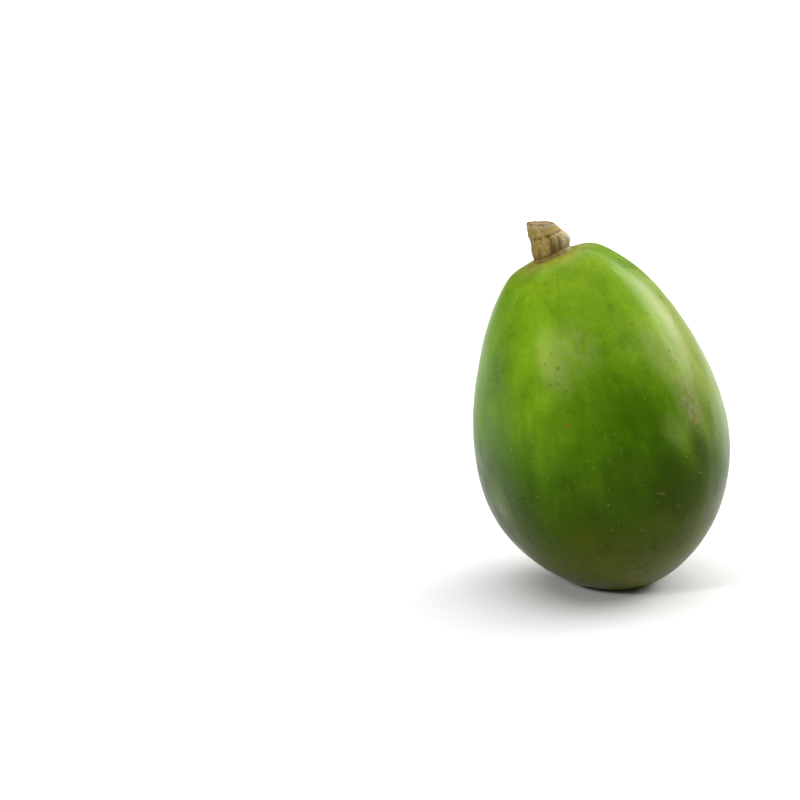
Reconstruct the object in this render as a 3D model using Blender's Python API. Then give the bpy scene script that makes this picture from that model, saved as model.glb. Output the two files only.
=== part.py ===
"""Ambarella: a whole green fruit standing on its blossom end, with a stub of woody stalk.

Metres, +Z up. The origin is the middle of the small flat spot the fruit rests on.
The fruit's own axis runs from the blossom end to the stem end and leans towards -X.
"""

import math

import bmesh
import bpy
import numpy as np
from mathutils import Matrix, Vector

COLLECTION_NAME = "ambarella"
CUTTER_COLLECTION_NAME = "cutters"

# The fruit's axis, and the egg profile along it
LEAN = math.radians(12.2)            # the stem end leans towards -X
MID_CENTRE = Vector((-0.0035, 0.0, 0.0339))
HALF_LENGTH = 0.0359
MID_RADIUS = 0.0253
TAPER = -0.171                       # narrower towards the stem end
WAIST = -0.074                       # slimmer at both ends
BLUNTNESS = 0.172                    # and yet blunt at both tips

# The flank that the fruit leans over is fuller low down, where it carries the weight
FULL_FLANK = 0.05                    # share of the radius
FULL_FLANK_PLACE = -0.72             # along the axis, from -1 at the blossom end to 1 at the stem end
FULL_FLANK_SPREAD = 0.45

# Five faint ribs, one over each lobe of the stone
RIB_COUNT = 5
RIB_HEIGHT = 0.022                   # share of the radius
RIB_AZIMUTH = math.radians(-43.0)
RIB_START = (-0.95, -0.30)           # fade in between these places along the axis
RIB_END = (0.85, 1.0)                # fade out between these

# The dip round the stalk, a little off the axis, and the shoulders that stand up round it
STEM_OFFSET = 0.00225                # towards -X
DIP_DEPTH = 0.0009
DIP_RADIUS = 0.0050
SHOULDER_HEIGHT = 0.0005
SHOULDER_RADIUS = 0.0095
SHOULDER_WIDTH = 0.0038
SHOULDER_LOBES = 0.5                 # how much the ribs raise and lower the shoulder

FRUIT_SEGMENTS = 50
FRUIT_RINGS = 36

# The stalk: a bent, knobby stub whose foot sits in a socket at the bottom of the dip
STEM_LEAN = math.radians(21.0)
STEM_LENGTH = 0.0069                 # of the shaft, from the middle of its foot to the cut end
# Radii from the foot to the cut end, and how far the shaft bows towards +X at each of them
STEM_RADII = (0.00350, 0.00362, 0.00372, 0.00378, 0.00372, 0.00355, 0.00318, 0.00280, 0.00260)
STEM_BOWS = (0.0, 0.0, 0.00010, 0.00040, 0.00060, 0.00037, 0.00020, 0.00010, 0.0)
STEM_CUT_TILT = STEM_LEAN            # turns the cut end back to level
STEM_CUT_POWER = 3                   # how late along the shaft that turn sets in
STEM_BEVEL_STEPS = 6                 # 16 sides
STEM_SHARP_ANGLE = math.radians(40.0)  # edges steeper than this stay crisp
WELD_DISTANCE = 0.00001              # joins the shaft's end caps to its sides
FOOT_RADIUS = 0.0038
FOOT_TOP_RADIUS = 0.0035
FOOT_HEIGHT = 0.0009
FOOT_SIDES = 32
SOCKET_DEPTH = 0.0009                # below the bottom of the dip
SOCKET_DRUM_HEIGHT = 0.0054          # reaches clear of the skin round the dip
SEAT_GAP = 0.0003                    # clearance between the stalk and the fruit
FOOT_LEVEL = SEAT_GAP - SOCKET_DEPTH + FOOT_HEIGHT / 2.0  # middle of the foot, along the stalk

FLOOR_BLOCK = 0.1                    # side of the block that cuts the resting spot

SKIN_GREEN = (0.165, 0.330, 0.022, 1.0)
SKIN_ROUGHNESS = 0.38
STALK_BROWN = (0.230, 0.150, 0.060, 1.0)
STALK_ROUGHNESS = 0.85


def clear_scene():
    """Remove whatever objects the scene holds."""
    for existing in list(bpy.data.objects):
        bpy.data.objects.remove(existing, do_unlink=True)


def new_collection(name):
    """A collection of this name, linked to the scene."""
    collection = bpy.data.collections.new(name)
    bpy.context.scene.collection.children.link(collection)
    return collection


def principled(name, colour, roughness):
    """A non-metallic Principled material."""
    material = bpy.data.materials.new(name)
    material.use_nodes = True
    shader = material.node_tree.nodes["Principled BSDF"]
    shader.inputs["Base Color"].default_value = colour
    shader.inputs["Roughness"].default_value = roughness
    shader.inputs["Metallic"].default_value = 0.0
    material.diffuse_color = colour
    return material


def fade(low, high, value):
    """0 below low, 1 above high, and a smooth step between."""
    share = np.clip((value - low) / (high - low), 0.0, 1.0)
    return share * share * (3.0 - 2.0 * share)


def bell(value, centre, width):
    """A smooth bump of height 1 at centre."""
    return np.exp(-((value - centre) / width) ** 2)


def skin_point(polar, azimuth):
    """Places on the skin, as x, y and z arrays, for angles from the stem end and round the axis."""
    along = np.cos(polar)
    lobe = np.cos(RIB_COUNT * (azimuth - RIB_AZIMUTH))

    # Egg profile
    radius = MID_RADIUS * np.sin(polar) * (1.0 + TAPER * along + WAIST * along**2 + BLUNTNESS * along**3)
    height = HALF_LENGTH * along

    # The fuller flank, then the ribs
    flank = (1.0 - np.cos(azimuth)) / 2.0 * bell(along, FULL_FLANK_PLACE, FULL_FLANK_SPREAD)
    ribbed = fade(*RIB_START, along) * (1.0 - fade(*RIB_END, along))
    radius = radius * (1.0 + FULL_FLANK * flank) * (1.0 + RIB_HEIGHT * lobe * ribbed)
    across = radius * np.cos(azimuth)
    aside = radius * np.sin(azimuth)

    # The dip at the stem end and its shoulders
    from_stem = np.hypot(across + STEM_OFFSET, aside)
    shoulder = SHOULDER_HEIGHT * (1.0 + SHOULDER_LOBES * lobe) * bell(from_stem, SHOULDER_RADIUS, SHOULDER_WIDTH)
    dip = DIP_DEPTH * bell(from_stem, 0.0, DIP_RADIUS)
    height = height + np.where(along > 0.0, shoulder - dip, 0.0)

    # Leaned, and set at its height
    x = across * math.cos(LEAN) - height * math.sin(LEAN) + MID_CENTRE.x
    y = aside + MID_CENTRE.y
    z = across * math.sin(LEAN) + height * math.cos(LEAN) + MID_CENTRE.z
    return x, y, z


def link_mesh(name, shape, collection, material=None):
    """Turn a bmesh into a smooth-shaded object in a collection."""
    mesh = bpy.data.meshes.new(name)
    shape.to_mesh(mesh)
    shape.free()
    mesh.shade_smooth()
    made = bpy.data.objects.new(name, mesh)
    if material is not None:
        mesh.materials.append(material)
    collection.objects.link(made)
    return made


def cut_away(target, cutter):
    """Cut one closed mesh from another with a Boolean modifier."""
    cut = target.modifiers.new("cut " + cutter.name, 'BOOLEAN')
    cut.operation = 'DIFFERENCE'
    cut.solver = 'EXACT'
    cut.object = cutter


def as_cutter(made):
    """Show an object only as a wire guide."""
    made.hide_render = True
    made.display_type = 'WIRE'
    return made


def stem_frame():
    """The stalk's own axes: origin at the bottom of the dip, +Z along the stalk."""
    tip_radius = MID_RADIUS * (1.0 + TAPER + WAIST + BLUNTNESS)
    root = Vector(float(value) for value in skin_point(STEM_OFFSET / tip_radius, math.pi))
    return Matrix.Translation(root) @ Matrix.Rotation(-STEM_LEAN, 4, 'Y')


def make_floor_cutter(cutters):
    """The block under the fruit, whose top face makes the flat spot."""
    shape = bmesh.new()
    bmesh.ops.create_cube(shape, size=FLOOR_BLOCK)
    bmesh.ops.translate(shape, verts=shape.verts, vec=(0.0, 0.0, -FLOOR_BLOCK / 2.0))
    return as_cutter(link_mesh("floor_cutter", shape, cutters))


def make_socket_cutter(cutters):
    """The drum that bores the stalk's shallow socket."""
    shape = bmesh.new()
    bmesh.ops.create_cone(shape, cap_ends=True, segments=FOOT_SIDES, depth=SOCKET_DRUM_HEIGHT,
                          radius1=FOOT_RADIUS + SEAT_GAP, radius2=FOOT_RADIUS + SEAT_GAP)
    drum_level = SOCKET_DRUM_HEIGHT / 2.0 - SOCKET_DEPTH
    bmesh.ops.translate(shape, verts=shape.verts, vec=(0.0, 0.0, drum_level))
    socket = as_cutter(link_mesh("socket_cutter", shape, cutters))
    socket.matrix_world = stem_frame()
    return socket


def make_fruit(parts, cutters):
    """The fruit: a sphere drawn out to the egg form, with its resting spot and stem socket cut."""
    shape = bmesh.new()
    bmesh.ops.create_uvsphere(shape, u_segments=FRUIT_SEGMENTS, v_segments=FRUIT_RINGS, radius=1.0)
    places = np.array([tuple(vertex.co) for vertex in shape.verts])
    polar = np.arccos(np.clip(places[:, 2], -1.0, 1.0))
    azimuth = np.arctan2(places[:, 1], places[:, 0])
    moved = np.column_stack(skin_point(polar, azimuth))
    for vertex, place in zip(shape.verts, moved):
        vertex.co = place
    skin = principled("ambarella skin", SKIN_GREEN, SKIN_ROUGHNESS)
    fruit = link_mesh("fruit", shape, parts, skin)
    cut_away(fruit, make_floor_cutter(cutters))
    cut_away(fruit, make_socket_cutter(cutters))
    return fruit


def make_stalk_tube(parts):
    """The stub's shaft: a bent tube of changing thickness, standing on the socket's floor."""
    curve = bpy.data.curves.new("stem shaft", 'CURVE')
    curve.dimensions = '3D'
    curve.bevel_depth = 1.0
    curve.bevel_resolution = STEM_BEVEL_STEPS
    curve.use_fill_caps = True
    spline = curve.splines.new('POLY')
    spline.points.add(len(STEM_RADII) - 1)
    for index, (point, radius, bow) in enumerate(zip(spline.points, STEM_RADII, STEM_BOWS)):
        share = index / (len(STEM_RADII) - 1)
        point.co = (bow, 0.0, FOOT_LEVEL + STEM_LENGTH * share, 1.0)
        point.radius = radius
    tube = bpy.data.objects.new("stem shaft", curve)
    parts.objects.link(tube)
    return tube


def as_closed_mesh(name, curve_object, collection):
    """Replace a curve by a mesh with its end caps welded on."""
    bpy.context.view_layer.update()
    evaluated = curve_object.evaluated_get(bpy.context.evaluated_depsgraph_get())
    mesh = bpy.data.meshes.new_from_object(evaluated)
    shape = bmesh.new()
    shape.from_mesh(mesh)
    bmesh.ops.remove_doubles(shape, verts=shape.verts, dist=WELD_DISTANCE)
    made = link_mesh(name, shape, collection)
    made.matrix_world = curve_object.matrix_world.copy()
    bpy.data.objects.remove(curve_object, do_unlink=True)
    return made


def level_cut_end(shaft):
    """Turn the cut end back from square to level, and the widths below it less and less."""
    for vertex in shaft.data.vertices:
        share = max((vertex.co.z - FOOT_LEVEL) / STEM_LENGTH, 0.0)
        vertex.co.z -= vertex.co.x * math.tan(STEM_CUT_TILT) * share**STEM_CUT_POWER


def make_stem(parts, cutters):
    """The stalk: its shaft joined to a low round foot."""
    wood = principled("stalk bark", STALK_BROWN, STALK_ROUGHNESS)
    stem = as_closed_mesh("stem", make_stalk_tube(parts), parts)
    level_cut_end(stem)
    stem.data.materials.clear()
    stem.data.materials.append(wood)

    shape = bmesh.new()
    bmesh.ops.create_cone(shape, cap_ends=True, segments=FOOT_SIDES, depth=FOOT_HEIGHT,
                          radius1=FOOT_RADIUS, radius2=FOOT_TOP_RADIUS)
    bmesh.ops.translate(shape, verts=shape.verts, vec=(0.0, 0.0, FOOT_LEVEL))
    foot = as_cutter(link_mesh("stem_foot_guide", shape, cutters))

    stem.matrix_world = stem_frame()
    foot.matrix_world = stem_frame()
    join = stem.modifiers.new("join foot", 'BOOLEAN')
    join.operation = 'UNION'
    join.solver = 'EXACT'
    join.object = foot
    stem.data.set_sharp_from_angle(angle=STEM_SHARP_ANGLE)
    return stem


def main():
    """Build the ambarella."""
    clear_scene()
    parts = new_collection(COLLECTION_NAME)
    cutters = new_collection(CUTTER_COLLECTION_NAME)
    make_fruit(parts, cutters)
    make_stem(parts, cutters)


main()
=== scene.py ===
"""Ambarella: the look of a whole green fruit with its stub of stalk.

Laid out as an add-on and run as a script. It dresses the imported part: fine skin over the fruit,
bark, cut wood and a corky collar for the stalk, then a floor, soft lights and a camera.
Metres, +Z up, and the origin is the middle of the spot that the fruit rests on.
"""

import math

import bpy
import numpy as np
from mathutils import Matrix, Quaternion, Vector, noise


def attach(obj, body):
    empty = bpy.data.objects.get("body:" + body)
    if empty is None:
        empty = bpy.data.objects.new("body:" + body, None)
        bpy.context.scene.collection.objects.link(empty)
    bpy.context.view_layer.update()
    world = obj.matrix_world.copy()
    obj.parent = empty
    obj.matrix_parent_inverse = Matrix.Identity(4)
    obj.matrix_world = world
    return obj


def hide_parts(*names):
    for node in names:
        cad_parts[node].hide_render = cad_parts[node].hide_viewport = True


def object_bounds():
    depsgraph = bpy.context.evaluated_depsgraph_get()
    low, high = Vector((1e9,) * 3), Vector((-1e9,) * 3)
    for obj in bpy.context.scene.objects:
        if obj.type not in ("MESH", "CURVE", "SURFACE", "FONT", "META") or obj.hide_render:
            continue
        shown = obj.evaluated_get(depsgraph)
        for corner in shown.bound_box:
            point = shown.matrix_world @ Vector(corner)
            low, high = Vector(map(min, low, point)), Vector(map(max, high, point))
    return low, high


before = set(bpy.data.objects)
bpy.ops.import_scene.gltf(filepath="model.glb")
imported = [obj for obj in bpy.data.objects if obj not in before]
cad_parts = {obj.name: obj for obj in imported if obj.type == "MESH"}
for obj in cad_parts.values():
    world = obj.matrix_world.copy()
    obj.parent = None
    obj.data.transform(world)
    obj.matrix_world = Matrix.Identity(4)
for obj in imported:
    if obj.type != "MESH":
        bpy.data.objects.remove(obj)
CAD_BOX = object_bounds()

bl_info = {
    "name": "Ambarella Maker",
    "version": (1, 0, 0),
    "blender": (4, 5, 0),
    "location": "3D View > Sidebar > Ambarella",
    "description": "Dresses a packed ambarella with skin, stalk and collar, and lights it",
    "category": "Object",
}

BODY = "root"
FRUIT_NODE = "fruit"
STALK_NODE = "stem"

MM = 0.001

# Form of the fruit, and its yellow flank, partly the skin's own yellow and partly painted highlight; places
# along its axis run from -1 at the blossom end to 1 at the stem end
RIB_COUNT = 5
RIB_START = (-0.95, -0.30)
RIB_END = (0.85, 1.0)
RIB_LIFT = 0.5                  # how much more the shoulder swells on a rib than between two
CREST_EDGE = 0.70               # how near a rib's middle its crest begins
FLANK_PLACE = -0.72
FLANK_SPREAD = 0.45
SKIN_INSET = 0.00010            # keeps the uneven skin within the solid part
UNEVEN_SIZE = 11 * MM
DIMPLE_SPACING = 6 * MM
FLOOR_PRESS = 0.25 * MM         # how softly the skin turns flat on the floor
RIDGE_AZIMUTH = math.radians(-28.5)     # near edge of the yellow flank, partly painted highlight, at the stem end
RIDGE_SWEEP = math.radians(-17.0)       # and how far it has swept round at the middle
RIDGE_WAVES = ((math.radians(3.0), 7.0, 1.0), (math.radians(2.0), 17.0, 0.0))   # reach, pace and start
TINT_AND_SHEEN_EDGE = (math.radians(-11.0), math.radians(14.0))
TINT_AND_SHEEN_FADE = (math.radians(10.0), math.radians(95.0))
TINT_AND_SHEEN_START = (-0.43, 0.50)
TINT_AND_SHEEN_END = (0.45, 1.00)
NEAR_STEM = 0.6                 # radians from the stem end, searched in this many steps for the collar
NEAR_STEPS = 600

# The stalk's shaft from foot to cut, its relief and its pale flange
SHAFT_RADII = (0.00350, 0.00362, 0.00372, 0.00376, 0.00362, 0.00338, 0.00310, 0.00280, 0.00260)
SHAFT_BOWS = (0.0, 0.0, 0.00010, 0.00040, 0.00055, 0.00030, 0.00010, 0.00005, 0.0)
SHAFT_FOOT = -0.00015           # where the shaft starts, below the bottom of the dip
SHAFT_STEPS = 401               # steps in which the runs above are smoothed, each over its neighbours
SHAFT_REACH = 30
CUT_POWER = 3                   # how late along the shaft it turns towards level
BARK_RIDGE = 1.1 * MM
BARK_RIDGE_DRAW = (1.0, 1.0, 0.22)      # draws the ridges out along the shaft
BARK_RIDGE_HEIGHT = 0.14 * MM
WRINKLE_SIZE = 0.9 * MM
WRINKLE_DRAW = (0.5, 0.5, 1.6)          # and the wrinkles round it
WRINKLE_HEIGHT = 0.06 * MM
WART_SPACING = 1.5 * MM
WART_HEIGHT = 0.12 * MM
FURROW_SPREAD = 0.36            # radians round the shaft
FURROW_END = (0.30, 0.60)
FURROW_DEPTH = 0.30 * MM
NODE_TILT = 0.03
NODE_WIDTH = 0.035
NODE_HEIGHT = 0.10 * MM
NODE_HOLLOW = 0.085             # how far under the bud ring its hollow lies
HOLLOW_DEPTH = 0.12 * MM
RIM_START = 0.93
RIM_ROUND = 0.35 * MM
RIM_SLOPE = 0.75                # above this share of the length the rim is uneven
RIM_UNEVEN = 0.13 * MM
RIM_WAVE = 0.8                  # radians, about, from one swell of the rim to the next
RIM_SINK = 0.04 * MM
FIBRE_SIZE = 0.45 * MM
FIBRE_HEIGHT = 0.07 * MM
CUP_DEPTH = 0.30 * MM
PITH_DEPTH = 0.25 * MM
PITH_REACH = 0.25
PITH_SINK = 0.02 * MM
CUT_EDGE = (0.96, 1.00)         # where bark gives way to cut wood
CREVICE_SHARES = (0.42, 0.55, 0.55, 0.35, 0.4)  # plain bark's, then what ridges, furrow, hollow and warts do
FLANGE_SHARE = 0.27             # the flange stands out on the +X side, this far up the shaft
FLANGE_REACH = 0.17
FLANGE_SPREAD = 0.70            # radians round the shaft
CALLUS_SHARE = 0.42             # its pale cork lies a little higher, and a little to the front
CALLUS_REACH = 0.28
CALLUS_SIDE = -0.25
DARK_SIDE_SPREAD = 0.75              # the -X side is darker
DARK_SIDE_END = (0.80, 1.00)

# The collar
COLLAR_INSET = 0.7 * MM         # how far it reaches into the shaft
COLLAR_WAVE = 0.35
COLLAR_BUMPS = 0.8 * MM
BUMP_HEIGHT = 0.14 * MM
OUTLINE_SHARES = (0.95, 0.10, 0.06)     # of its radius: plain, in the five lobes and in the ragged edge
THICK_SHARES = (0.85, 0.15)             # of its thickness: plain and in the lobes
PALE_HEIGHT = 0.35 * MM         # how much thicker it is on its pale side
PALE_SPREAD = 0.75
EDGE_SINK = 0.12 * MM

# How far apart the seeds of the noises start, and each noise's own seed
NOISE_STEPS = (17.3, -9.1, 4.7)
WART_STEPS = (5.9, 3.3, -8.2)
(SKIN_SEED, DIMPLE_SEED, RIDGE_SEED, WRINKLE_SEED, WART_SEED,
 RIM_SEED, FIBRE_SEED, COLLAR_SEED, BUMP_SEED) = range(1, 10)

# Patterns in the skin: the size of their features. Dots have spacing, radius and the share of them kept
FLOW_STRETCH = 0.14             # streaks run about seven times as far along the fruit as round it
STREAK_SIZE = 1.5 * MM
FINGER_SIZE = 4.5 * MM
BLOTCH_SIZE = 15 * MM
MOTTLE_SIZE = 5 * MM
RUST_SIZE = 1.4 * MM
GRAIN_SIZE = 0.6 * MM
OIL_SPACING = 0.75 * MM
PORES = (1.35 * MM, 0.27 * MM, 0.55)
SPECKS = (3.0 * MM, 0.48 * MM, 0.22)
BLOTCH_SHIFT = 0.09             # how far the patterns shift the run of greens
FINGER_SHIFT = 0.06
GREEN_PLACES = (0.08, 0.31, 0.48, 0.70, 0.88, 1.00)     # from the blossom end's green to the stem end's
MARK_CORE = 0.2                 # share of a mark that has its full strength
MARK_THICKNESS = 0.6 * MM
FRAY_SIZE = 0.9 * MM
FRAY_REACH = 0.35 * MM
TINT_AND_SHEEN_STRENGTH = 0.62
PORE_STRENGTH = 0.32
STAIN_STRENGTH = 0.60
SKIN_RELIEF = 0.06 * MM

# How the skin and the bark take light
SKIN_IOR = 1.45
SKIN_GLOSS = 0.13
SKIN_GLOSS_TONE = (1.0, 0.96, 0.25, 1.0)
SKIN_GLOW = 0.12
SKIN_GLOW_REACH = (0.6, 1.0, 0.25)
SKIN_GLOW_DEPTH = 0.0015
BARK_GLOSS = 0.12
BARK_RELIEF = 0.12 * MM

# Where the lights stand from the fruit's middle, and the softboxes' width and height
TOP_FROM = (0.10, 0.20, 1.0)
BACK_FROM = (0.72, 0.56, 0.40)
BACK_SIZE = (0.70, 0.42)
LEFT_FROM = (-0.60, -0.66, 0.50)
LEFT_SIZE = (0.12, 0.18)
FLOOR_RADIUS = 6.0
FLOOR_SIDES = 96

# Uneven green, as factors on the colour
LIGHTER = (1.28, 1.20, 1.20)
DARKER = (0.74, 0.80, 0.80)

# Marks on the skin: place along the axis, azimuth and turn in degrees, length and width, strength
RUSSET_MARKS = (
    (0.128, -39.5, 12.0, 0.0026, 0.00040, 0.85),
    (0.030, -42.0, -8.0, 0.0022, 0.00050, 0.75),
    (0.179, -101.0, 30.0, 0.0011, 0.00075, 0.70),
    (-0.300, -66.0, 70.0, 0.0014, 0.00035, 0.55),
    (0.520, 41.0, 20.0, 0.0030, 0.00045, 0.70),
    (0.080, 118.0, -35.0, 0.0024, 0.00120, 0.60),
    (-0.250, 171.0, 15.0, 0.0040, 0.00040, 0.65),
    (0.400, -152.0, 80.0, 0.0019, 0.00050, 0.60),
)
# Small dark specks of the skin's own, then broad dark patches of painted shade
DARK_SPECKS_AND_SHADE = (
    (0.470, -102.2, 0.0, 0.00062, 0.00048, 0.70),
    (0.395, -103.2, 25.0, 0.00055, 0.00042, 0.70),
    (0.392, -107.4, 60.0, 0.00070, 0.00040, 0.65),
    (0.545, -105.0, 10.0, 0.00045, 0.00040, 0.55),
    (0.500, -109.5, 40.0, 0.00050, 0.00036, 0.55),
    (0.350, -99.5, 0.0, 0.00045, 0.00045, 0.50),
    (0.403, -40.5, 15.0, 0.00060, 0.00045, 0.65),
    (0.341, -39.2, 0.0, 0.00050, 0.00042, 0.65),
    (0.362, -43.5, 50.0, 0.00042, 0.00040, 0.55),
    # Broad dark patches: painted shade in the dimple and on the middle and lower flank
    (-0.140, -42.6, 5.0, 0.0072, 0.0038, 0.72),
    (-0.315, -60.0, 30.0, 0.0125, 0.0085, 0.58),
    (0.150, -67.0, 35.0, 0.0095, 0.0060, 0.28),
    (-0.170, -78.0, 20.0, 0.0110, 0.0078, 0.32),
    (0.390, -80.0, 10.0, 0.0075, 0.0058, 0.17),
    (-0.620, -60.0, 20.0, 0.0090, 0.0065, 0.24),
)
# Pale patches: the four at azimuths -46 to -106 are painted highlight, the two others the skin's own paler
# tone
PALE_AND_HIGHLIGHT_MARKS = (
    (0.000, -53.0, 20.0, 0.0060, 0.0036, 0.26),
    (0.300, 95.0, 35.0, 0.0080, 0.0045, 0.20),
    (-0.250, -150.0, 15.0, 0.0070, 0.0050, 0.16),
    (0.530, -106.0, 10.0, 0.0085, 0.0048, 0.31),
    (0.430, -46.5, 5.0, 0.0115, 0.0044, 0.33),
    (0.520, -58.0, 10.0, 0.0080, 0.0050, 0.10),
)
# Patches of dull film over the green; the four at azimuths -42 to -99 are also painted highlight
FILM_AND_SHEEN_MARKS = (
    (0.400, -46.0, 8.0, 0.0095, 0.0050, 0.12),
    (0.130, -42.0, 4.0, 0.0095, 0.0042, 0.31),
    (0.560, -90.0, 25.0, 0.0075, 0.0060, 0.13),
    (0.460, -99.0, -10.0, 0.0075, 0.0055, 0.10),
    (0.150, 160.0, 12.0, 0.0090, 0.0050, 0.09),
    (0.500, 70.0, -15.0, 0.0080, 0.0050, 0.10),
)
# Broad patches where the green is deeper, or paler, some of them painted shade or light as marked: place
# along the axis, azimuth in degrees, reach along the axis, spread in degrees, and how far the colour moves
# towards the blossom end's
SHADES = (
    # Deeper over the middle: partly the skin's own tone, partly painted shade
    (0.28, -71.0, 0.22, 24.0, 0.20),
    # Painted shadow along the left flank
    (0.52, -147.0, 0.25, 16.0, 0.34),
    (0.35, -118.0, 0.30, 20.0, -0.03),
    (0.05, 70.0, 0.30, 30.0, 0.12),
    (0.30, 150.0, 0.25, 30.0, 0.08),
    (-0.10, -165.0, 0.25, 28.0, 0.10),
    # Paler along the right rim: painted light
    (-0.08, 2.0, 0.28, 30.0, -0.26),
    (0.45, 25.0, 0.20, 22.0, 0.06),
)
# Soft dents: place along the axis, azimuth in degrees, radius and depth
DENTS = (
    (-0.193, -42.6, 0.0030, 0.00022),
    (0.060, -80.0, 0.0055, 0.00012),
    (0.420, -112.0, 0.0040, 0.00010),
    (0.330, -60.0, 0.0050, 0.00012),
    (-0.400, 20.0, 0.0045, 0.00016),
    (0.250, 88.0, 0.0050, 0.00014),
    (-0.050, 150.0, 0.0045, 0.00016),
    (0.450, -170.0, 0.0040, 0.00012),
)


# ---------------------------------------------------------------- settings


class AmbarellaForm(bpy.types.PropertyGroup):
    """Sizes of the fruit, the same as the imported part's."""

    half_length: bpy.props.FloatProperty(
        name="Half length", description="From the middle of the fruit to either tip",
        default=0.0359, unit='LENGTH')
    mid_radius: bpy.props.FloatProperty(
        name="Radius", description="Half the width at the middle", default=0.0253, unit='LENGTH')
    taper: bpy.props.FloatProperty(
        name="Taper", description="Below zero, narrower towards the stem end", default=-0.171)
    waist: bpy.props.FloatProperty(
        name="Waist", description="Below zero, slimmer at both ends", default=-0.074)
    bluntness: bpy.props.FloatProperty(
        name="Bluntness", description="Keeps both tips blunt", default=0.172)
    full_flank: bpy.props.FloatProperty(
        name="Full flank", description="Extra width low down on the side it leans to", default=0.05)
    lean: bpy.props.FloatProperty(
        name="Lean", description="How far the stem end leans towards -X",
        default=math.radians(12.2), subtype='ANGLE')
    centre: bpy.props.FloatVectorProperty(
        name="Centre", description="Middle of the fruit's axis",
        default=(-0.0035, 0.0, 0.0339), subtype='TRANSLATION')
    rib_height: bpy.props.FloatProperty(
        name="Rib height", description="Of the five faint ribs, as a share of the radius", default=0.022)
    rib_azimuth: bpy.props.FloatProperty(
        name="Rib azimuth", description="Where the first rib is, round the axis",
        default=math.radians(-43.0), subtype='ANGLE')
    stem_offset: bpy.props.FloatProperty(
        name="Stalk offset", description="How far the stalk stands off the axis",
        default=0.00225, unit='LENGTH')
    dip_depth: bpy.props.FloatProperty(
        name="Dip depth", description="Of the dip round the stalk", default=0.0009, unit='LENGTH')
    dip_radius: bpy.props.FloatProperty(
        name="Dip radius", description="Of the dip round the stalk", default=0.0050, unit='LENGTH')
    shoulder_height: bpy.props.FloatProperty(
        name="Shoulder height", description="Of the swelling round the dip",
        default=0.0005, unit='LENGTH')
    shoulder_radius: bpy.props.FloatProperty(
        name="Shoulder radius", description="From the stalk to the swelling's crest",
        default=0.0095, unit='LENGTH')
    shoulder_width: bpy.props.FloatProperty(
        name="Shoulder width", description="Of the swelling", default=0.0038, unit='LENGTH')


class AmbarellaSkin(bpy.types.PropertyGroup):
    """Colours and relief of the skin."""

    segments: bpy.props.IntProperty(
        name="Segments", description="Faces round the fruit", default=384, min=32)
    rings: bpy.props.IntProperty(
        name="Rings", description="Faces from tip to tip", default=254, min=24)
    stem_green: bpy.props.FloatVectorProperty(
        name="Stem end", description="Yellow-green round the stalk",
        default=(0.143, 0.258, 0.006), subtype='COLOR')
    shoulder_green: bpy.props.FloatVectorProperty(
        name="Shoulder", description="Bright green of the upper fruit",
        default=(0.122, 0.250, 0.006), subtype='COLOR')
    belly_green: bpy.props.FloatVectorProperty(
        name="Belly", description="Deeper green of the middle",
        default=(0.0355, 0.098, 0.001), subtype='COLOR')
    low_green: bpy.props.FloatVectorProperty(
        name="Low down", description="Dark green below the middle",
        default=(0.0112, 0.0345, 0.0006), subtype='COLOR')
    blossom_green: bpy.props.FloatVectorProperty(
        name="Blossom end", description="Olive of the blossom end",
        default=(0.081, 0.086, 0.0035), subtype='COLOR')
    # Yellow of the right flank, where it is partly painted highlight, and of the ring round the stalk
    yellow_and_sheen: bpy.props.FloatVectorProperty(
        name="Blush", description="Yellow where the fruit caught the sun",
        default=(0.330, 0.330, 0.045), subtype='COLOR')
    # Also the colour of the painted highlight patches
    speck_and_highlight_colour: bpy.props.FloatVectorProperty(
        name="Pale specks", description="Breathing pores in the skin",
        default=(0.270, 0.360, 0.080), subtype='COLOR')
    # Also paints highlight where its patches lie on the front
    film_and_sheen: bpy.props.FloatVectorProperty(
        name="Film", description="Greyish film of dried sap", default=(0.380, 0.280, 0.200),
        subtype='COLOR')
    russet: bpy.props.FloatVectorProperty(
        name="Russet", description="Corky marks and scuffs",
        default=(0.150, 0.118, 0.016), subtype='COLOR')
    roughness: bpy.props.FloatProperty(
        name="Roughness", description="Of the waxy skin", default=0.295, min=0.0, max=1.0)
    undulation: bpy.props.FloatProperty(
        name="Undulation", description="Height of the broad unevenness", default=0.00012, unit='LENGTH')
    dimple_depth: bpy.props.FloatProperty(
        name="Dimple depth", description="Of the small soft dimples", default=0.00007, unit='LENGTH')
    crest_height: bpy.props.FloatProperty(
        name="Crest height", description="How far the ribs' crests stand out", default=0.00012,
        unit='LENGTH')


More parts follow.
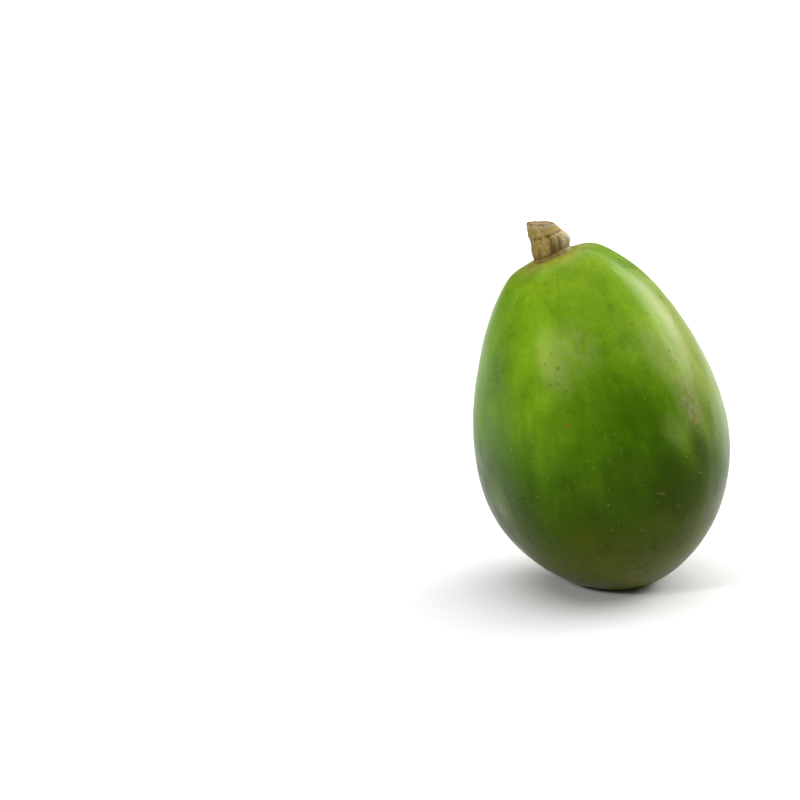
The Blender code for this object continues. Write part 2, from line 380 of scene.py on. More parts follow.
class AmbarellaStalk(bpy.types.PropertyGroup):
    """Sizes and colours of the stalk and its collar."""

    lean: bpy.props.FloatProperty(
        name="Lean", description="Of the stalk towards -X", default=math.radians(21.0), subtype='ANGLE')
    length: bpy.props.FloatProperty(
        name="Length", description="From the bottom of the dip to the middle of the cut end",
        default=0.00685, unit='LENGTH')
    cut_tilt: bpy.props.FloatProperty(
        name="Cut tilt", description="How far the cut end is turned back from square, towards level",
        default=math.radians(21.0), subtype='ANGLE')
    flange: bpy.props.FloatProperty(
        name="Flange", description="How far the pale flange stands out on the +X side",
        default=0.0005, unit='LENGTH')
    collar_radius: bpy.props.FloatProperty(
        name="Collar radius", description="Of the corky collar on the skin", default=0.0041, unit='LENGTH')
    collar_height: bpy.props.FloatProperty(
        name="Collar height", description="Of the collar against the stalk", default=0.0010, unit='LENGTH')
    segments: bpy.props.IntProperty(
        name="Segments", description="Faces round the stalk", default=144, min=16)
    rings: bpy.props.IntProperty(
        name="Rings", description="Faces up the stalk", default=120, min=8)
    cut_rings: bpy.props.IntProperty(
        name="Cut rings", description="Faces from rim to middle of the cut end", default=28, min=3)
    collar_rings: bpy.props.IntProperty(
        name="Collar rings", description="Faces across the collar", default=28, min=4)
    groove_turn: bpy.props.FloatProperty(
        name="Groove", description="Where the furrow runs down the bark", default=math.radians(-74.0),
        subtype='ANGLE')
    callus_turn: bpy.props.FloatProperty(
        name="Callus", description="Which side of the collar is pale", default=math.radians(12.0),
        subtype='ANGLE')
    node_share: bpy.props.FloatProperty(
        name="Node", description="Height of the old bud ring, as a share of the length", default=0.74)
    roughness: bpy.props.FloatProperty(
        name="Roughness", description="Of dry bark", default=0.82, min=0.0, max=1.0)
    bark_brown: bpy.props.FloatVectorProperty(
        name="Bark", description="Dry tan-brown bark", default=(0.310, 0.220, 0.058),
        subtype='COLOR')
    crevice_brown: bpy.props.FloatVectorProperty(
        name="Crevices", description="Dark brown between the ridges", default=(0.085, 0.057, 0.009),
        subtype='COLOR')
    bleached: bpy.props.FloatVectorProperty(
        name="Bleached", description="Grey-mauve of weathered bark", default=(0.400, 0.310, 0.215),
        subtype='COLOR')
    wood: bpy.props.FloatVectorProperty(
        name="Cut wood", description="Of the cut end", default=(0.275, 0.200, 0.125),
        subtype='COLOR')
    callus: bpy.props.FloatVectorProperty(
        name="Callus", description="Pale healed cork", default=(0.700, 0.605, 0.425),
        subtype='COLOR')


class AmbarellaStage(bpy.types.PropertyGroup):
    """Floor, lights and camera."""

    floor_colour: bpy.props.FloatVectorProperty(
        name="Floor", description="Plain pale floor", default=(0.82, 0.82, 0.82),
        subtype='COLOR')
    top_light: bpy.props.FloatProperty(
        name="Top light", description="Even light from overhead, in watts per square metre", default=3.5)
    top_spread: bpy.props.FloatProperty(
        name="Top spread", description="How much of the sky overhead it fills",
        default=math.radians(100.0), subtype='ANGLE')
    back_light: bpy.props.FloatProperty(
        name="Back light", description="Low softbox behind and to the right", default=7.6, unit='POWER')
    left_light: bpy.props.FloatProperty(
        name="Left light", description="Small softbox at the left", default=4.5, unit='POWER')
    warmth: bpy.props.FloatVectorProperty(
        name="Warmth", description="Tone of the back light", default=(1.0, 1.0, 0.97),
        subtype='COLOR')
    sky: bpy.props.FloatProperty(
        name="Surroundings", description="Strength of the even light all round", default=0.12)
    lens: bpy.props.FloatProperty(
        name="Lens", description="Focal length in millimetres", default=100.0)
    elevation: bpy.props.FloatProperty(
        name="Elevation", description="How far the camera looks down", default=math.radians(15.0),
        subtype='ANGLE')
    frame_width: bpy.props.FloatProperty(
        name="Frame width", description="Width of the view at the fruit", default=0.1612, unit='LENGTH')
    fruit_right: bpy.props.FloatProperty(
        name="Fruit right", description="How far right of the view's middle the fruit stands",
        default=0.0406, unit='LENGTH')
    fruit_down: bpy.props.FloatProperty(
        name="Fruit down", description="How far below the view's middle the fruit's middle is",
        default=0.00036, unit='LENGTH')
    roll: bpy.props.FloatProperty(
        name="Roll", description="Of the camera about its line of sight", default=math.radians(-0.69),
        subtype='ANGLE')


# ---------------------------------------------------------------- the fruit's form


def fade(low, high, value):
    """0 below low, 1 above high, and a smooth step between."""
    share = np.clip((value - low) / (high - low), 0.0, 1.0)
    return share * share * (3.0 - 2.0 * share)


def bell(value, centre, width):
    """A smooth bump of height 1 at centre."""
    return np.exp(-((value - centre) / width) ** 2)


def angle_from(start, turn):
    """The angle from start to turn, at most half a turn either way."""
    return np.angle(np.exp(1j * (turn - start)))


def egg_radius(form, polar):
    """Half the width of the plain egg at an angle from the stem end."""
    along = np.cos(polar)
    return form.mid_radius * np.sin(polar) * (
        1.0 + form.taper * along + form.waist * along**2 + form.bluntness * along**3)


def lean_over(form, across, aside, height):
    """From the fruit's own axis to the world, as an array of places."""
    x = across * math.cos(form.lean) - height * math.sin(form.lean) + form.centre[0]
    y = aside + form.centre[1]
    z = across * math.sin(form.lean) + height * math.cos(form.lean) + form.centre[2]
    return np.stack([x, y, z], axis=-1)


def dip_and_shoulder(form, across, aside, lobe):
    """Height added near the stem end."""
    from_stem = np.hypot(across + form.stem_offset, aside)
    shoulder = form.shoulder_height * (1.0 + RIB_LIFT * lobe) * bell(
        from_stem, form.shoulder_radius, form.shoulder_width)
    return shoulder - form.dip_depth * bell(from_stem, 0.0, form.dip_radius)


def flank_tint_and_sheen(along, azimuth):
    """1 on the yellow flank, past its wandering ridge, and 0 away from it; the flank is partly the skin's own
    yellow, partly painted highlight.
    """
    wander = sum(reach * np.sin(pace * along + start) for reach, pace, start in RIDGE_WAVES)
    past = angle_from(RIDGE_AZIMUTH + RIDGE_SWEEP * (1.0 - along) ** 2 + wander, azimuth)
    round_it = fade(*TINT_AND_SHEEN_EDGE, past) * (1.0 - fade(*TINT_AND_SHEEN_FADE, past))
    return round_it * fade(*TINT_AND_SHEEN_START, along) * (1.0 - fade(*TINT_AND_SHEEN_END, along))


def shade_patches(along, azimuth):
    """How far the broad patches move the green towards the blossom end's."""
    shade = np.zeros_like(along)
    for patch_along, patch_azimuth, reach, spread, strength in SHADES:
        apart = np.degrees(angle_from(math.radians(patch_azimuth), azimuth))
        shade = shade + strength * bell(along, patch_along, reach) * bell(apart, 0.0, spread)
    return shade


def skin_places(form, polar, azimuth):
    """Places on the skin, and its qualities there, for angles from the stem end and round the axis."""
    along = np.cos(polar)
    lobe = np.cos(RIB_COUNT * (azimuth - form.rib_azimuth))
    flank = (1.0 - np.cos(azimuth)) / 2.0 * bell(along, FLANK_PLACE, FLANK_SPREAD)
    ribbed = fade(*RIB_START, along) * (1.0 - fade(*RIB_END, along))
    radius = egg_radius(form, polar) * (1.0 + form.full_flank * flank)
    radius = radius * (1.0 + form.rib_height * lobe * ribbed)
    across = radius * np.cos(azimuth)
    aside = radius * np.sin(azimuth)
    height = form.half_length * along
    height = height + np.where(along > 0.0, dip_and_shoulder(form, across, aside, lobe), 0.0)
    from_stem = np.where(along > 0.0, np.hypot(across + form.stem_offset, aside), form.half_length)
    flow = np.stack([form.mid_radius * np.cos(azimuth), form.mid_radius * np.sin(azimuth),
                     FLOW_STRETCH * height], axis=-1)
    return lean_over(form, across, aside, height), {
        "along": along, "tint_and_sheen_mask": flank_tint_and_sheen(along, azimuth), "rib": lobe * ribbed,
        "shade": shade_patches(along, azimuth), "from_stem": from_stem / form.mid_radius, "flow": flow}


def skin_frame(form, along, azimuth):
    """Axes on the skin at a place along the axis and round it: +Z outward and +Y towards the stem end."""
    polar = math.acos(along)
    step = 0.01
    places, _ = skin_places(form, np.array([polar, polar - step, polar]),
                            np.array([azimuth, azimuth, azimuth + step]))
    here, above, beside = (Vector(place) for place in places)
    outward = (beside - here).cross(above - here).normalized()
    upward = (above - here).normalized()
    turned = Matrix((upward.cross(outward), upward, outward)).transposed().to_4x4()
    return Matrix.Translation(here) @ turned


def stem_root(form):
    """The bottom of the dip, where the stalk stands."""
    tip_radius = form.mid_radius * (1.0 + form.taper + form.waist + form.bluntness)
    places, _ = skin_places(form, np.array([form.stem_offset / tip_radius]), np.array([math.pi]))
    return Vector(places[0])


def stalk_axes(form, stalk):
    """The stalk's own axes: origin at the bottom of the dip, +Z along the stalk."""
    return Matrix.Translation(stem_root(form)) @ Matrix.Rotation(-stalk.lean, 4, 'Y')


# ---------------------------------------------------------------- meshes


def grid_faces(rows, columns, closed=True):
    """Quads of a grid of rows by columns, closed round its columns."""
    faces = []
    reach = columns if closed else columns - 1
    for row in range(rows - 1):
        for column in range(reach):
            following = (column + 1) % columns
            faces.append((row * columns + column, row * columns + following,
                          (row + 1) * columns + following, (row + 1) * columns + column))
    return faces


def smooth_object(name, places, faces, qualities=None):
    """A smooth-shaded object, with named qualities kept at its points for the shader."""
    mesh = bpy.data.meshes.new(name)
    mesh.from_pydata([tuple(place) for place in places], [], faces)
    mesh.validate()
    mesh.shade_smooth()
    for label, values in (qualities or {}).items():
        values = np.asarray(values, dtype=np.float32)
        if values.ndim == 1:
            mesh.attributes.new(label, 'FLOAT', 'POINT').data.foreach_set("value", values)
        else:
            mesh.attributes.new(label, 'FLOAT_VECTOR', 'POINT').data.foreach_set("vector", values.ravel())
    made = bpy.data.objects.new(name, mesh)
    bpy.context.scene.collection.objects.link(made)
    return made


def noise_start(steps, seed):
    """Where the noise of this seed starts, away from the other seeds'."""
    return Vector([step * seed for step in steps])


def rough_noise(places, size, seed, octaves=3):
    """Fractal noise of about -1 to 1 at each place, with features of this size."""
    shift = noise_start(NOISE_STEPS, seed)
    return np.array([noise.fractal(Vector(place) / size + shift, 1.0, 2.0, octaves) for place in places])


def wart_noise(places, size, seed):
    """1 at scattered points and 0 beyond half their spacing, where size is the spacing."""
    shift = noise_start(WART_STEPS, seed)
    nearest = np.array([noise.voronoi(Vector(place) / size + shift)[0][0] for place in places])
    return 1.0 - fade(0.0, 0.5, nearest)


# ---------------------------------------------------------------- shader helpers


def add_node(tree, kind, inputs=None, **settings):
    """A shader node with its settings made and its inputs set or linked."""
    made = tree.nodes.new(kind)
    for name, value in settings.items():
        setattr(made, name, value)
    for name, value in (inputs or {}).items():
        if isinstance(value, bpy.types.NodeSocket):
            tree.links.new(value, made.inputs[name])
        else:
            made.inputs[name].default_value = value
    return made


def quality(tree, name):
    """A quality kept at the mesh's points."""
    return add_node(tree, "ShaderNodeAttribute", attribute_name=name).outputs["Fac"]


def object_place(tree):
    """Place in the object, in metres."""
    return add_node(tree, "ShaderNodeTexCoord").outputs["Object"]


def sum_of(tree, first, second):
    """first + second"""
    return add_node(tree, "ShaderNodeMath", {0: first, 1: second}, operation='ADD').outputs[0]


def times(tree, first, second):
    """first x second"""
    return add_node(tree, "ShaderNodeMath", {0: first, 1: second}, operation='MULTIPLY').outputs[0]


def rise(tree, value, low, high, bottom=0.0, top=1.0):
    """A smooth step from bottom at low to top at high."""
    made = add_node(tree, "ShaderNodeMapRange",
                    {"Value": value, "From Min": low, "From Max": high, "To Min": bottom, "To Max": top},
                    interpolation_type='SMOOTHSTEP')
    return made.outputs["Result"]


def swing(tree, value, reach):
    """A noise of 0 to 1 as a shift of up to this reach either way."""
    return rise(tree, value, 0.25, 0.75, -reach, reach)


def cloud(tree, place, size, detail=3.0, roughness=0.5):
    """Noise of 0 to 1 with features of this size, in metres."""
    made = add_node(tree, "ShaderNodeTexNoise",
                    {"Vector": place, "Scale": 1.0 / size, "Detail": detail, "Roughness": roughness})
    return made.outputs["Fac"]


def cells(tree, place, spacing):
    """Scattered points: the distance to the nearest, in spacings, and that point's own random colour."""
    made = add_node(tree, "ShaderNodeTexVoronoi", {"Vector": place, "Scale": 1.0 / spacing})
    return made.outputs["Distance"], made.outputs["Color"]


def dots(tree, place, spacing, radius, kept):
    """Round dots of uneven size: 1 inside and 0 outside. kept is the share of the points that have one."""
    distance, colour = cells(tree, place, spacing)
    draw = add_node(tree, "ShaderNodeSeparateColor", {"Color": colour})
    size = rise(tree, draw.outputs["Red"], 0.0, 1.0, 0.45 * radius / spacing, radius / spacing)
    nearness = add_node(tree, "ShaderNodeMath", {0: distance, 1: size}, operation='DIVIDE').outputs[0]
    inside = rise(tree, nearness, 1.0, 0.45)
    present = rise(tree, draw.outputs["Green"], kept, kept - 0.02)
    return times(tree, inside, present)


def tint(tree, share, first, second, blend='MIX'):
    """first, blended towards second."""
    made = tree.nodes.new("ShaderNodeMix")
    made.data_type = 'RGBA'
    made.blend_type = blend
    for index, value in ((0, share), (6, first), (7, second)):
        if isinstance(value, bpy.types.NodeSocket):
            tree.links.new(value, made.inputs[index])
        elif index == 0:
            made.inputs[index].default_value = value
        else:
            made.inputs[index].default_value = (*value[:3], 1.0)
    return made.outputs[2]


def layered(tree, base, layers, blend='MIX'):
    """base with each layer's colour laid over it in turn, by a step in that layer's pattern."""
    for pattern, step, colour in layers:
        base = tint(tree, rise(tree, pattern, *step), base, colour, blend)
    return base


def heaped(tree, heights):
    """Patterns added up as a height, each by its weight."""
    parts = [pattern if weight == 1.0 else times(tree, pattern, weight) for pattern, weight in heights]
    total = parts[0]
    for part in parts[1:]:
        total = sum_of(tree, total, part)
    return total


def colour_run(tree, value, stops):
    """A run of colours along a value of 0 to 1."""
    made = add_node(tree, "ShaderNodeValToRGB", {"Fac": value})
    ramp = made.color_ramp
    ramp.interpolation = 'B_SPLINE'
    while len(ramp.elements) < len(stops):
        ramp.elements.new(0.5)
    for element, (place, colour) in zip(ramp.elements, stops):
        element.position = place
        element.color = (*colour, 1.0)
    return made.outputs["Color"]


def principled(name):
    """A new material with its node tree and Principled shader."""
    material = bpy.data.materials.new(name)
    material.use_nodes = True
    tree = material.node_tree
    return material, tree, tree.nodes["Principled BSDF"]


def bumped(tree, height, depth, strength=1.0):
    """A normal from a height of 0 to 1 over this depth, in metres."""
    return add_node(tree, "ShaderNodeBump",
                    {"Height": height, "Distance": depth, "Strength": strength}).outputs["Normal"]


# ---------------------------------------------------------------- the skin


def blemishes(tree, form, place, marks):
    """How far inside any of these marks each place is, from 0 outside to each mark's strength."""
    found = 0.0
    for along, azimuth, turn, length, width, strength in marks:
        axes = skin_frame(form, along, math.radians(azimuth)) @ Matrix.Rotation(math.radians(turn), 4, 'Z')
        inward = add_node(tree, "ShaderNodeMapping",
                          {"Vector": place, "Location": axes.translation, "Rotation": axes.to_euler(),
                           "Scale": (width, length, max(width, MARK_THICKNESS))},
                          vector_type='TEXTURE').outputs[0]
        reach = add_node(tree, "ShaderNodeVectorMath", {0: inward}, operation='LENGTH').outputs["Value"]
        inside = rise(tree, reach, 1.0, MARK_CORE, 0.0, strength)
        found = add_node(tree, "ShaderNodeMath", {0: found, 1: inside}, operation='MAXIMUM').outputs[0]
    return found


def jittered(tree, place, size, reach):
    """The place shifted unevenly by up to about this reach, to fray the edges of marks."""
    noise_colour = add_node(tree, "ShaderNodeTexNoise",
                            {"Vector": place, "Scale": 1.0 / size, "Detail": 3.0}).outputs["Color"]
    centred = add_node(tree, "ShaderNodeVectorMath", {0: noise_colour, 1: (0.5, 0.5, 0.5)},
                       operation='SUBTRACT').outputs["Vector"]
    return add_node(tree, "ShaderNodeVectorMath",
                    {0: centred, 1: (2.0 * reach,) * 3, 2: place}, operation='MULTIPLY_ADD').outputs["Vector"]


def skin_material(form, skin):
    """Waxy green skin: deeper towards the blossom end, partly its own colour and partly painted shade, with
    pale pores, faint streaks, russet, and patches of painted highlight and painted shade.
    """
    material, tree, shader = principled("ambarella_skin")
    place = object_place(tree)
    frayed = jittered(tree, place, FRAY_SIZE, FRAY_REACH)
    along = quality(tree, "along")
    rib = quality(tree, "rib")
    from_stem = quality(tree, "from_stem")
    flow = add_node(tree, "ShaderNodeAttribute", attribute_name="flow").outputs["Vector"]
    streak = cloud(tree, flow, STREAK_SIZE, 4.0, 0.6)
    finger = cloud(tree, flow, FINGER_SIZE, 3.0, 0.55)
    blotch = cloud(tree, place, BLOTCH_SIZE, 3.0, 0.5)
    mottle = cloud(tree, place, MOTTLE_SIZE, 6.0, 0.62)

    # Green from tip to tip, darker towards the blossom end: partly the skin's own colour, partly painted
    # shade on the underside; its changes drawn out in fingers along the fruit
    level = sum_of(tree, along, swing(tree, blotch, BLOTCH_SHIFT))
    level = sum_of(tree, level, swing(tree, finger, FINGER_SHIFT))
    level = add_node(tree, "ShaderNodeMath", {0: level, 1: quality(tree, "shade")},
                     operation='SUBTRACT').outputs[0]
    level = add_node(tree, "ShaderNodeMapRange", {"Value": level, "From Min": -1.0}).outputs["Result"]
    greens = (skin.blossom_green, skin.low_green, skin.belly_green,
              skin.shoulder_green, skin.shoulder_green, skin.stem_green)
    green = colour_run(tree, level, tuple(zip(GREEN_PLACES, greens)))

    # Mottling and faint streaks, and the ribs' crests lightened as a painted highlight
    green = layered(tree, green, (
        (mottle, (0.50, 0.70), LIGHTER), (mottle, (0.48, 0.30), DARKER),
        (streak, (0.52, 0.72, 0.0, 0.5), LIGHTER), (streak, (0.46, 0.28, 0.0, 0.5), DARKER),
        (rib, (0.1, 1.0, 0.0, 0.6), LIGHTER)), 'MULTIPLY')

    # The yellow flank, uneven along the fruit: partly the skin's own yellow, partly a painted highlight on
    # the right shoulder
    uneven = times(tree, rise(tree, finger, 0.25, 0.75, 0.70, 1.0), rise(tree, mottle, 0.30, 0.70, 0.75, 1.0))
    tint_and_sheen_mask = times(tree, quality(tree, "tint_and_sheen_mask"), uneven)
    green = tint(tree, times(tree, tint_and_sheen_mask, TINT_AND_SHEEN_STRENGTH), green, skin.yellow_and_sheen)

    # Oil cells darken the green finely, pores dot it palely
    gland, _ = cells(tree, place, OIL_SPACING)
    patchy = rise(tree, blotch, 0.40, 0.60, 0.35, 1.0)
    green = tint(tree, times(tree, rise(tree, gland, 0.42, 0.10, 0.0, 0.24), patchy), green, skin.low_green)
    pore = dots(tree, place, *PORES)
    green = tint(tree, times(tree, pore, PORE_STRENGTH), green, skin.speck_and_highlight_colour)
    # Pale patches, mostly painted highlight
    green = tint(tree, blemishes(tree, form, frayed, PALE_AND_HIGHLIGHT_MARKS), green, skin.speck_and_highlight_colour)
    # Dark specks, and broad dark patches of painted shade
    green = tint(tree, blemishes(tree, form, frayed, DARK_SPECKS_AND_SHADE), green, skin.low_green)

    # Film, in places a painted highlight, and russet: a stain round the stalk, scattered corky specks and
    # scars
    rusty = cloud(tree, place, RUST_SIZE, 5.0, 0.65)
    dull_coat_and_sheen = times(tree, blemishes(tree, form, frayed, FILM_AND_SHEEN_MARKS), rise(tree, rusty, 0.40, 0.62, 0.35, 1.35))
    green = tint(tree, dull_coat_and_sheen, green, skin.film_and_sheen)
    green = tint(tree, rise(tree, from_stem, 0.36, 0.20, 0.0, 0.70), green, skin.yellow_and_sheen)
    stain = times(tree, rise(tree, from_stem, 0.40, 0.17), rise(tree, rusty, 0.38, 0.62))
    green = tint(tree, times(tree, stain, STAIN_STRENGTH), green, skin.russet)
    speck = dots(tree, frayed, *SPECKS)
    scar = blemishes(tree, form, frayed, RUSSET_MARKS)
    corky = add_node(tree, "ShaderNodeMath", {0: times(tree, speck, 0.6), 1: scar},
                     operation='MAXIMUM').outputs[0]
    green = tint(tree, times(tree, corky, rise(tree, rusty, 0.30, 0.60, 0.55, 1.0)), green, skin.russet)
    tree.links.new(green, shader.inputs["Base Color"])

    # Wax, rubbed thinner in places and missing from cork
    wax = rise(tree, mottle, 0.3, 0.7, skin.roughness - 0.04, skin.roughness + 0.08)
    wax = heaped(tree, ((wax, 1.0), (corky, 0.30), (pore, 0.12)))
    tree.links.new(wax, shader.inputs["Roughness"])

    # Fine relief: cells sunk, pores and cork raised
    grain = cloud(tree, place, GRAIN_SIZE)
    height = heaped(tree, ((gland, 0.30), (grain, 0.25), (streak, 0.35), (pore, 0.35), (corky, 0.8)))
    tree.links.new(bumped(tree, height, SKIN_RELIEF, 0.8), shader.inputs["Normal"])

    for socket, value in (
            ("IOR", SKIN_IOR), ("Specular IOR Level", SKIN_GLOSS), ("Specular Tint", SKIN_GLOSS_TONE),
            ("Subsurface Weight", SKIN_GLOW), ("Subsurface Radius", SKIN_GLOW_REACH),
            ("Subsurface Scale", SKIN_GLOW_DEPTH)):
        shader.inputs[socket].default_value = value
    return material


class AMBARELLA_OT_skin(bpy.types.Operator):
    """Make the fruit's skin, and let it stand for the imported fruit"""

    bl_idname = "ambarella.skin"
    bl_label = "Fruit Skin"

    def execute(self, context):
        form = context.scene.ambarella_form
        skin = context.scene.ambarella_skin
        columns = skin.segments
        polar = np.repeat(np.linspace(0.0, math.pi, skin.rings + 1)[1:-1], columns)
        azimuth = np.tile(np.arange(columns) * 2.0 * math.pi / columns, skin.rings - 1)
        polar = np.append(polar, (0.0, math.pi))
        azimuth = np.append(azimuth, (0.0, 0.0))
        places, qualities = skin_places(form, polar, azimuth)

        outward = places - np.array(form.centre)
        outward = outward / np.linalg.norm(outward, axis=1)[:, None]
        uneven = rough_noise(places, UNEVEN_SIZE, SKIN_SEED, octaves=2)
        dimpled = wart_noise(places, DIMPLE_SPACING, DIMPLE_SEED)
        relief = skin.undulation * uneven - skin.dimple_depth * dimpled
        crest = np.clip((qualities["rib"] - CREST_EDGE) / (1.0 - CREST_EDGE), 0.0, 1.0) ** 2
        relief = relief + skin.crest_height * crest * (1.0 + uneven)
        for place_along, place_azimuth, radius, depth in DENTS:
            centre = skin_frame(form, place_along, math.radians(place_azimuth)).translation
            apart = np.linalg.norm(places - np.array(centre), axis=1)
            relief = relief - depth * bell(apart, 0.0, radius)
        places = places + outward * (relief - SKIN_INSET)[:, None]

        # Settle on the floor: below it the skin is pressed flat, with a soft edge
        places[:, 2] = 0.5 * (places[:, 2] + np.sqrt(places[:, 2] ** 2 + FLOOR_PRESS**2))

        faces = grid_faces(skin.rings - 1, columns)
        top, bottom = len(places) - 2, len(places) - 1
        last = (skin.rings - 2) * columns
        for column in range(columns):
            following = (column + 1) % columns
            faces.append((top, following, column))
            faces.append((bottom, last + column, last + following))
        fruit = smooth_object("fruit_skin", places, [face[::-1] for face in faces], qualities)
        fruit.data.materials.append(skin_material(form, skin))
        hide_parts(FRUIT_NODE)
        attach(fruit, BODY)
        return {'FINISHED'}


# ---------------------------------------------------------------- the stalk


def smoothed(share, values):
    """A run of values at a share of the shaft's length, with the steps between them smoothed."""
    fine = np.linspace(0.0, 1.0, SHAFT_STEPS)
    run = np.interp(fine, np.linspace(0.0, 1.0, len(values)), values)
    weights = np.hanning(2 * SHAFT_REACH + 1)
    smooth = np.convolve(np.pad(run, SHAFT_REACH, mode='edge'), weights / weights.sum(), mode='valid')
    return np.interp(share, fine, smooth)


def bark_points(stalk):
    """Turn, share of the length, distance out, height and depth in a crevice, row by row up the bark."""
    turn = np.tile(np.arange(stalk.segments) * 2.0 * math.pi / stalk.segments, stalk.rings)
    share = np.repeat(np.linspace(0.0, 1.0, stalk.rings), stalk.segments)
    height = SHAFT_FOOT + share * (stalk.length - SHAFT_FOOT)
    radius = smoothed(share, SHAFT_RADII)
    unit = np.stack([np.cos(turn), np.sin(turn), np.zeros_like(turn)], axis=-1)

    # Ridges run up the bark and wander a little; wrinkles cross them
    on_bark = unit * radius[:, None] + np.array([0.0, 0.0, 1.0]) * height[:, None]
    ridge = rough_noise(on_bark * np.array(BARK_RIDGE_DRAW), BARK_RIDGE, RIDGE_SEED)
    wrinkle = rough_noise(on_bark * np.array(WRINKLE_DRAW), WRINKLE_SIZE, WRINKLE_SEED, octaves=2)
    wart = wart_noise(on_bark, WART_SPACING, WART_SEED)
    furrow = bell(angle_from(stalk.groove_turn, turn), 0.0, FURROW_SPREAD) * (1.0 - fade(*FURROW_END, share))
    tilt = NODE_TILT * np.sin(turn + 1.0)
    node = bell(share, stalk.node_share + tilt, NODE_WIDTH)
    hollow = bell(share, stalk.node_share - NODE_HOLLOW + tilt, NODE_WIDTH)
    relief = (BARK_RIDGE_HEIGHT * ridge + WRINKLE_HEIGHT * wrinkle + WART_HEIGHT * wart
              + NODE_HEIGHT * node - HOLLOW_DEPTH * hollow - FURROW_DEPTH * furrow)
    plain, on_ridge, in_furrow, in_hollow, on_wart = CREVICE_SHARES
    crevice = plain - on_ridge * ridge + in_furrow * furrow + in_hollow * hollow - on_wart * wart
    crevice = np.clip(crevice, 0.0, 1.0)

    # The rim of the cut is worn round and not quite level
    out = radius + relief - RIM_ROUND * fade(RIM_START, 1.0, share) ** 2
    uneven = RIM_UNEVEN * rough_noise(unit, RIM_WAVE, RIM_SEED, 2)
    height = height + fade(RIM_SLOPE, 1.0, share) * (uneven - RIM_SINK)
    return turn, share, out, height, crevice


def cut_points(stalk, turn, edge_out, edge_height):
    """Turn, distance out, height and reach from the middle, ring by ring inwards over the cut end."""
    steps = np.linspace(RIM_START, 0.0, stalk.cut_rings + 1)[:-1]
    reach = np.repeat(steps, stalk.segments)
    turn = np.tile(turn, stalk.cut_rings)
    out = (steps[:, None] * edge_out[None, :]).ravel()
    flat = np.stack([out * np.cos(turn), out * np.sin(turn), np.zeros_like(out)], axis=-1)
    fibre = rough_noise(flat, FIBRE_SIZE, FIBRE_SEED) * FIBRE_HEIGHT
    cup = -CUP_DEPTH * (1.0 - reach**4) - PITH_DEPTH * bell(reach, 0.0, PITH_REACH)
    height = np.tile(edge_height, stalk.cut_rings) * reach + (1.0 - reach) * edge_height.mean()
    return turn, out, height + cup + fibre, reach


def stalk_mesh(stalk):
    """Places, faces and qualities of the shaft with its cut end, in the stalk's own axes."""
    columns = stalk.segments
    turn, share, out, height, crevice = bark_points(stalk)
    cut_turn, cut_out, cut_height, cut_reach = cut_points(
        stalk, turn[-columns:], out[-columns:], height[-columns:])
    all_turn = np.concatenate([turn, cut_turn])
    out = np.concatenate([out, cut_out])
    height = np.concatenate([height, cut_height])

    # The shaft bows, turns level towards the cut and stands out in the flange
    portion = np.clip((height - SHAFT_FOOT) / (stalk.length - SHAFT_FOOT), 0.0, 1.0)
    across = out * np.cos(all_turn) + smoothed(portion, SHAFT_BOWS)
    height = height - across * math.tan(stalk.cut_tilt) * portion**CUT_POWER
    flange = stalk.flange * bell(angle_from(0.0, all_turn), 0.0, FLANGE_SPREAD) * bell(
        portion, FLANGE_SHARE, FLANGE_REACH)
    places = np.stack([across + flange, out * np.sin(all_turn), height], axis=-1)
    centre = np.array([[0.0, 0.0, cut_height[-columns:].mean() - PITH_SINK]])
    places = np.concatenate([places, centre])
    all_rows = stalk.rings + stalk.cut_rings
    faces = grid_faces(all_rows, columns)
    last = (all_rows - 1) * columns
    for column in range(columns):
        faces.append((last + column, last + (column + 1) % columns, len(places) - 1))

    cut_count = len(places) - len(turn)
    off_bark = np.zeros(cut_count)
    darker_side = bell(angle_from(math.pi, turn), 0.0, DARK_SIDE_SPREAD) * (1.0 - fade(*DARK_SIDE_END, share))
    callus = bell(angle_from(CALLUS_SIDE, turn), 0.0, FLANGE_SPREAD) * bell(share, CALLUS_SHARE, CALLUS_REACH)
    qualities = {
        "own_place": places,
        "share": np.concatenate([share, np.ones(cut_count)]),
        "crevice": np.concatenate([crevice, off_bark]),
        "darker_side": np.concatenate([darker_side, off_bark]),
        "cut": np.concatenate([fade(*CUT_EDGE, share), np.ones(cut_count)]),
        "reach": np.concatenate([np.ones(len(turn)), cut_reach, [0.0]]),
        "callus": np.concatenate([callus, off_bark]),
    }
    return places, faces, qualities


